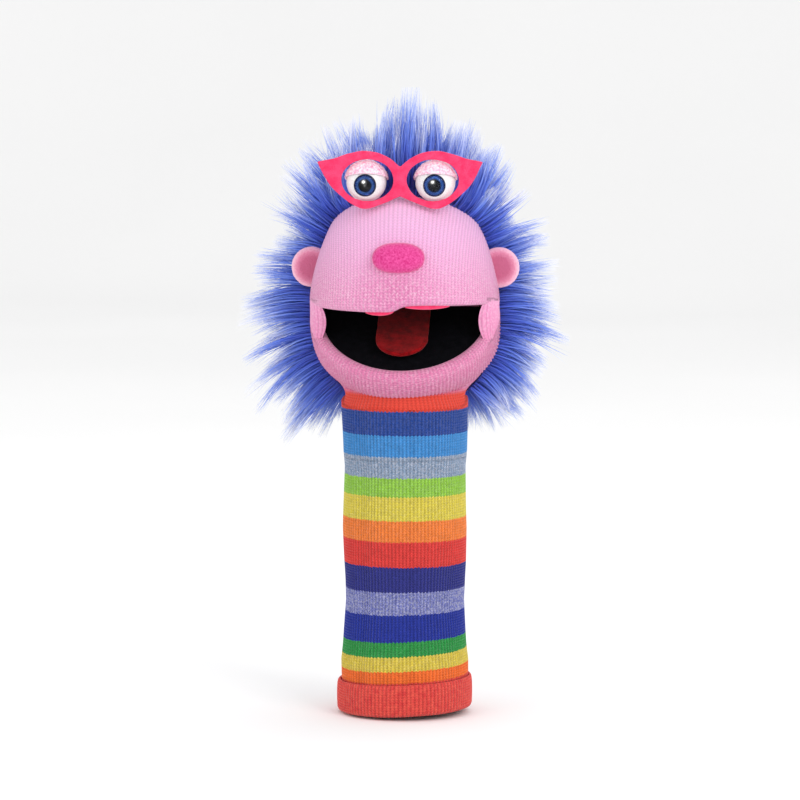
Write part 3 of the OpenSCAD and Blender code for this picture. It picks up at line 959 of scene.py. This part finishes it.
def ball_points(rings, segments):
    """A unit ball as a grid of rings about its +Z pole."""
    polar = np.linspace(0, math.pi, rings)[:, None]
    turn = ring(segments)
    return stacked(np.sin(polar) * np.cos(turn), np.sin(polar) * np.sin(turn), np.cos(polar))


def squared(values, power):
    return np.sign(values) * np.abs(values) ** power


def make_nose():
    low, high = box("nose_cover")
    half = np.array([(high[0] - low[0]) / 2, 10.0, (high[2] - low[2]) / 2])
    ball = ball_points(56, 96)[..., [0, 2, 1]] * [1, -1, 1]
    points = middle("nose_cover") * [1, 0, 1] + [0, -60.5, 0] + squared(ball, 0.88) * half
    nose = grid_piece("nose", points, velour("nose velour", (200, 40, 118), (230, 88, 160)), "columns")
    roughen(nose, 1.1, 0.22)
    finish_piece(nose, "head", "pink_velour", "nose_cover")


def ear_radius(side):
    low, high = box("ear_cover_" + side)
    return (high[2] - low[2]) / 2


def ear_middle(side):
    """The centre of an ear's disc, from its box, whose outer side is a full radius away."""
    low, high = box("ear_cover_" + side)
    x = high[0] - ear_radius(side) if side == "left" else low[0] + ear_radius(side)
    return np.array([x, (low[1] + high[1]) / 2, (low[2] + high[2]) / 2])


def make_ear(side):
    """A stuffed disc with a full rim and a shallow dish in its front."""
    radius = ear_radius(side)
    out = np.sin(np.linspace(0, math.pi, 60))[:, None]
    front = (np.linspace(-1, 1, 60) < 0)[:, None]
    thick = 3.6 * np.sqrt(np.clip(1 - out ** 5, 0, 1))
    dish = np.where(front, 0.85 * np.exp(-(out / 0.62) ** 4), 0.5 * np.exp(-(out / 0.7) ** 2))
    turn = ring(96)
    y = np.where(front, dish - thick, thick - dish)
    points = ear_middle(side) + stacked(radius * out * np.cos(turn), y, radius * out * np.sin(turn))
    ear = grid_piece("ear_" + side, points, ear_plush(side), "columns")
    roughen(ear, 1.0, 0.22)
    finish_piece(ear, "head", "rose_velour", "ear_cover_" + side)


def make_eye(side):
    """A stuffed velour ball, flat where the iris sits and where it rests on the head, with its plush lid."""
    centre = eye_middle(side)
    across = np.array([1.0, 0.0, 0.0])
    axes = np.stack([across, np.cross(GAZE, across), GAZE])
    ball = ball_points(64, 96) @ axes
    seat = SEAT * [1 if side == "left" else -1, 1, 1]
    seat /= np.linalg.norm(seat)
    points = EYE_R * ball
    points = points - np.clip(points @ GAZE - EYE_FLAT, 0, None)[..., None] * GAZE
    points = points - np.clip(points @ seat - SEAT_AT, 0, None)[..., None] * seat
    eyeball = grid_piece("eyeball_" + side, centre + points, WHITE_VELOUR, "columns")
    roughen(eyeball, 0.9, 0.16)
    finish_piece(eyeball, "head", "white_velour", "eyeball_cover_" + side)
    lid = soft_copy("eyelid_plush_" + side, "eyelid_" + side, LID_PLUSH, 0.4, 3, 1.3, 0.5)
    finish_piece(lid, "head", "pink_velour", "eyelid_" + side)
    frame["nodes"]["iris_" + side].material_slots[0].material = iris_paint(side)
    frame["nodes"]["cornea_" + side].material_slots[0].material = CLEAR


def make_glasses():
    glasses = soft_copy("glasses_felt", "glasses_frame", HOT_FELT, 0.55, 3, 7, 0.25)
    finish_piece(glasses, "head", "pink_felt", "glasses_frame")


# ---- The fur ----


def make_backing():
    """The cloth that the fur grows from: all round over the mouth, and only behind it lower down."""
    crown = HEAD_AT[2] + CROWN * np.sin(np.linspace(0.19, math.pi / 2, 40))
    z = np.concatenate([np.linspace(203, 268, 34), crown])[:, None]
    wide = egg_scale(z)
    half = HEAD_HALF - 0.9
    back_share = np.clip((13.0 - HEAD_AT[1]) / (half[1] * np.maximum(wide, 0.3)), -1, 1)
    turn_end = np.arccos(back_share) * (1 - smooth(z, 264, 275)) + math.pi * smooth(z, 264, 275)
    turn = turn_end * np.linspace(-1, 1, 181)[None, :]
    x = half[0] * wide * np.sin(turn)
    y = HEAD_AT[1] + half[1] * wide * np.cos(turn)
    points = stacked(x, y, z - 0.9 * smooth(z, 300, 347))
    cloth = woven("blue cloth", (38, 48, 138), (58, 76, 184))
    backing = grid_piece("fur_cloth", points, cloth, weld=0.02)
    finish_piece(backing, "head", "blue_cloth", "fur_backing")


def fur_roots(random, count):
    """Points spread over the head behind the hairline, each with its outward direction."""
    way = random.normal(size=(count * 4, 3))
    way /= np.linalg.norm(way, axis=1)[:, None]
    root = HEAD_AT + egg_hit(HEAD_AT, way, 0.9)[:, None] * way
    half = np.where(root[:, 2:] > HEAD_AT[2], CROWN, NAPE)
    out = (root - HEAD_AT) / np.concatenate([np.broadcast_to(HEAD_HALF, (len(root), 2)), half], 1) ** 2
    out /= np.linalg.norm(out, axis=1)[:, None]
    line = hairline(root) - 3
    eyes = np.stack([np.linalg.norm(root - eye_middle(side), axis=1) for side in ("left", "right")])
    bridge = (root[:, 1] < -24) & (root[:, 2] < 336) & (np.abs(root[:, 0]) < 9)
    free = (root[:, 1] > line) & (root[:, 2] > 207) & (eyes.min(0) > EYE_R - 1) & ~bridge
    return root[free][:count], out[free][:count]


def fur_tip(root, out, length, random):
    """Where strands end: outward, combed up off the brow, swept a little back, and sagging."""
    brow = smooth(-root[:, 1], 0, 30)[:, None]
    sides = np.abs(out[:, :1])
    away = root - np.array([0, 6, 268])
    away /= np.linalg.norm(away, axis=1)[:, None]
    way = 0.45 * out + 0.75 * away + random.normal(size=root.shape) * 0.13
    way += [0, 0.10, 0.10]
    way = way * (1 - brow) + (0.25 * out + [0, 0.5, 1.0] + random.normal(size=root.shape) * 0.15) * brow
    way /= np.linalg.norm(way, axis=1)[:, None]
    droop = 0.16 * length * sides[:, 0] + 0.1 * length
    return root + way * length[:, None] - np.stack([0 * droop, 0 * droop, droop * 0.6], -1)


def fur_length(root, random):
    """Pile length: fullest at the sides, shorter over the crown, with a tall tuft at the top."""
    left = smooth(-root[:, 0], -20, 40)
    length = 40 + 6 * left + 3 * smooth(np.abs(root[:, 0]), 20, 55)
    length += 8 * smooth(root[:, 2], 305, 335)
    tuft = np.exp(-((root[:, 0] - 6) / 8) ** 2) * smooth(root[:, 2], 326, 340) * smooth(-root[:, 1], -30, -8)
    length += 18 * tuft
    return length * random.uniform(0.6, 1.12, len(root))


def make_fur():
    """Tapered flat strands in clumps whose tips draw together, in four pieces."""
    random = np.random.default_rng(7)
    clump_root, clump_out = fur_roots(random, CLUMPS)
    clump_length = fur_length(clump_root, random)
    clump_tip = fur_tip(clump_root, clump_out, clump_length, random)
    root, out = fur_roots(random, STRANDS)
    nearest = np.concatenate([
        ((part[:, None, :] - clump_root[None]) ** 2).sum(-1).argmin(1) for part in np.array_split(root, 30)])
    own = fur_tip(root, out, clump_length[nearest] * random.uniform(0.75, 1.08, len(root)), random)
    gather = random.uniform(0.45, 0.95, len(root))[:, None]
    offset = (root - clump_root[nearest]) * 0.25 + random.normal(size=root.shape) * 0.9
    tip = own * (1 - gather) + (clump_tip[nearest] + offset) * gather
    low, high = (np.array(v) / MM for v in cad_bounds)
    tip = np.clip(tip, low - PAST_LOW, high + PAST_HIGH)
    length = np.linalg.norm(tip - root, axis=1)[:, None]
    bend = root + out * length * 0.42 + [0, 0, 1.5] + random.normal(size=root.shape) * 1.2
    share = np.linspace(0, 1, STRAND_POINTS)[:, None, None]
    path = root * (1 - share) ** 2 + 2 * bend * share * (1 - share) + tip * share ** 2
    along = np.gradient(path, axis=0)
    flat = np.cross(along, random.normal(size=root.shape)[None])
    flat /= np.maximum(np.linalg.norm(flat, axis=2, keepdims=True), 1e-9)
    width = random.uniform(0.24, 0.42, len(root))[None, :, None] * (1 - share ** 1.6 * 0.9)
    edges = np.stack([path - flat * width, path + flat * width], 2)
    edges = edges.transpose(1, 0, 2, 3)
    own_shade = random.random(len(root))[:, None, None]
    clump_shade = random.random(len(clump_root))[nearest][:, None, None]
    strand = stacked(share[None, :, 0, :], own_shade, clump_shade)
    strand = np.broadcast_to(strand, edges.shape)
    top = clump_root[nearest][:, 2] > 316
    back = clump_root[nearest][:, 1] > 34
    left = clump_root[nearest][:, 0] < 0
    sides = ~top & ~back
    sectors = {"fur_top": top, "fur_back": ~top & back, "fur_right": sides & left, "fur_left": sides & ~left}
    paint = fur_paint()
    for name, chosen in sectors.items():
        count = int(chosen.sum())
        first = 2 * STRAND_POINTS * np.arange(count)[:, None, None]
        faces = grid_faces(STRAND_POINTS, 2)[None] + first
        piece = new_piece(name, edges[chosen], faces.reshape(-1, 4), paint, strand=strand[chosen])
        finish_piece(piece, "head", "blue_fur", "fur_pile")


# ---- Inside the head ----


def pocket_points(width, height, front, back):
    """A soft cloth pocket along Y, closed and pinched at its front end, with its inner wall."""
    turn = ring(64)
    share = np.linspace(0, 1, 30)[:, None]
    close = np.clip(1 - (1 - share) ** 6, 0, 1) ** 0.5
    rows = []
    for wall in (0.0, 1.1):
        pucker = 1 + 0.03 * np.sin(9 * turn) * np.sin(7 * share)
        x = (width / 2 - wall) * squared(np.cos(turn), 0.8) * close
        z = (height / 2 - wall) * squared(np.sin(turn), 0.8) * close * pucker
        y = front + wall + (back - front - wall) * share
        grid = stacked(x, y, z)
        rows.append(grid if wall == 0 else grid[::-1])
    return np.concatenate(rows)


def make_pockets():
    fingers = pocket_points(62, 20, -38, 2) + [0, 0, middle("finger_pocket")[2]]
    thumb = pocket_points(32, 15, -50, -12) + [0, 0, -12.6]
    for name, points, body, node in [
        ("finger_pocket_cloth", fingers, "head", "finger_pocket"),
        ("thumb_pocket_cloth", opened(thumb), "jaw", "thumb_pocket"),
    ]:
        piece = grid_piece(name, points, BLACK, "columns")
        finish_piece(piece, body, "black_cloth", node)


def make_jaw_foam():
    """The jaw's foam shell, just inside its skin."""
    side = np.radians(np.linspace(-72, 72, 80))[None, :]
    turn = -np.linspace(math.radians(13), JAW_END - 0.03, 26)[:, None]
    way = way_out(side, turn)
    reach = jaw_reach(way)
    outer = (reach - 2.2)[..., None] * way
    inner = (reach - 9.5)[..., None] * way
    points = opened(np.concatenate([outer, inner[::-1]]))
    shell = grid_piece("jaw_foam_shell", points, FOAM, "rows")
    roughen(shell, 2.0, 0.4)
    finish_piece(shell, "jaw", "foam", "jaw_foam")


def paint_inner_nodes():
    """Better materials for the CAD nodes whose shape is right."""
    fill, board, washer = fibre_fill(), stiff_board(), washer_plastic()
    looks = {"head_foam": FOAM, "palate_board": board, "jaw_board": board, "nose_stuffing": fill}
    for side in ("left", "right"):
        looks[f"ear_stuffing_{side}"] = fill
        looks[f"eyeball_stuffing_{side}"] = fill
        looks[f"eye_washer_{side}"] = washer
    for node, paint in looks.items():
        frame["nodes"][node].material_slots[0].material = paint


# ---- Floor and light ----


def make_stage():
    """A pale floor that curves up into a backdrop."""
    run = [(-9.0, 0.0), (4.0, 0.0)]
    run += [(4.0 + 2.0 * math.sin(t), 2.0 - 2.0 * math.cos(t)) for t in np.linspace(0.1, math.pi / 2, 14)]
    run += [(6.0, 9.0)]
    points = [[(x, y, z) for x in (-9.0, 9.0)] for y, z in run]
    points = np.array(points) / MM - [0, 0, 1.0]
    paint = Paint("backdrop", 0.9, gloss=0.1)
    grain = paint.noise(paint.place(), 900, 2.0)
    paint.done(paint.ramp(grain, [(0.3, 0.95), (0.7, 0.98)]))
    new_piece("backdrop", points, grid_faces(len(run), 2), paint.material)


def area_light(name, at, size, power):
    data = bpy.data.lights.new(name, "AREA")
    data.size = size
    data.energy = power
    light = add_object(name, data)
    light.location = at
    light.rotation_euler = (Vector((0, 0, 0.2)) - Vector(at)).to_track_quat("-Z", "Y").to_euler()
    return light


def make_light():
    """Even studio light. The glint lights only the eyes' clear domes, for the highlight on each pupil."""
    world = bpy.data.worlds.new("studio")
    world.use_nodes = True
    world.node_tree.nodes["Background"].inputs["Color"].default_value = grey(1.0)
    world.node_tree.nodes["Background"].inputs["Strength"].default_value = 0.92
    bpy.context.scene.world = world
    bpy.context.scene.view_settings.view_transform = "Standard"
    area_light("key", (1.5, -1.9, 1.5), 1.2, 22)
    area_light("fill", (-1.9, -1.8, 1.0), 1.6, 7)
    area_light("top", (0.2, 0.9, 2.2), 1.4, 8)
    glint = area_light("eye_glint", (-0.46, -2.3, 0.53), 0.6, 480)
    glint.data.shape = "DISK"
    glint.data.cycles.max_bounces = 0
    glint.visible_camera = False
    eyes = bpy.data.collections.new("lit by the glint")
    for side in ("left", "right"):
        eyes.objects.link(frame["nodes"]["cornea_" + side])
    glint.light_linking.receiver_collection = eyes


STRIPED = striped_knit()
PINK = pink_knit()
BLACK = felt("black cloth", (4, 4, 7), (12, 12, 17), sheen=0.02)
RED_FELT = felt("red felt", (104, 2, 8), (158, 14, 20), sheen=0.08)
HOT_FELT = felt("hot pink felt", (228, 42, 92), (246, 72, 118))
WHITE_VELOUR = velour("white velour", (226, 226, 228), (250, 250, 250), 0.9, 0.2)
LID_PLUSH = eyelid_plush()
CLEAR = clear_plastic()
FOAM = foam()

make_camera()
make_sleeve()
make_face()
make_throat()
make_linings()
make_lip_edges()
make_tongue()
make_nose()
for eye_side in ("left", "right"):
    make_ear(eye_side)
    make_eye(eye_side)
make_glasses()
make_backing()
make_fur()
make_pockets()
make_jaw_foam()
paint_inner_nodes()
make_stage()
make_light()
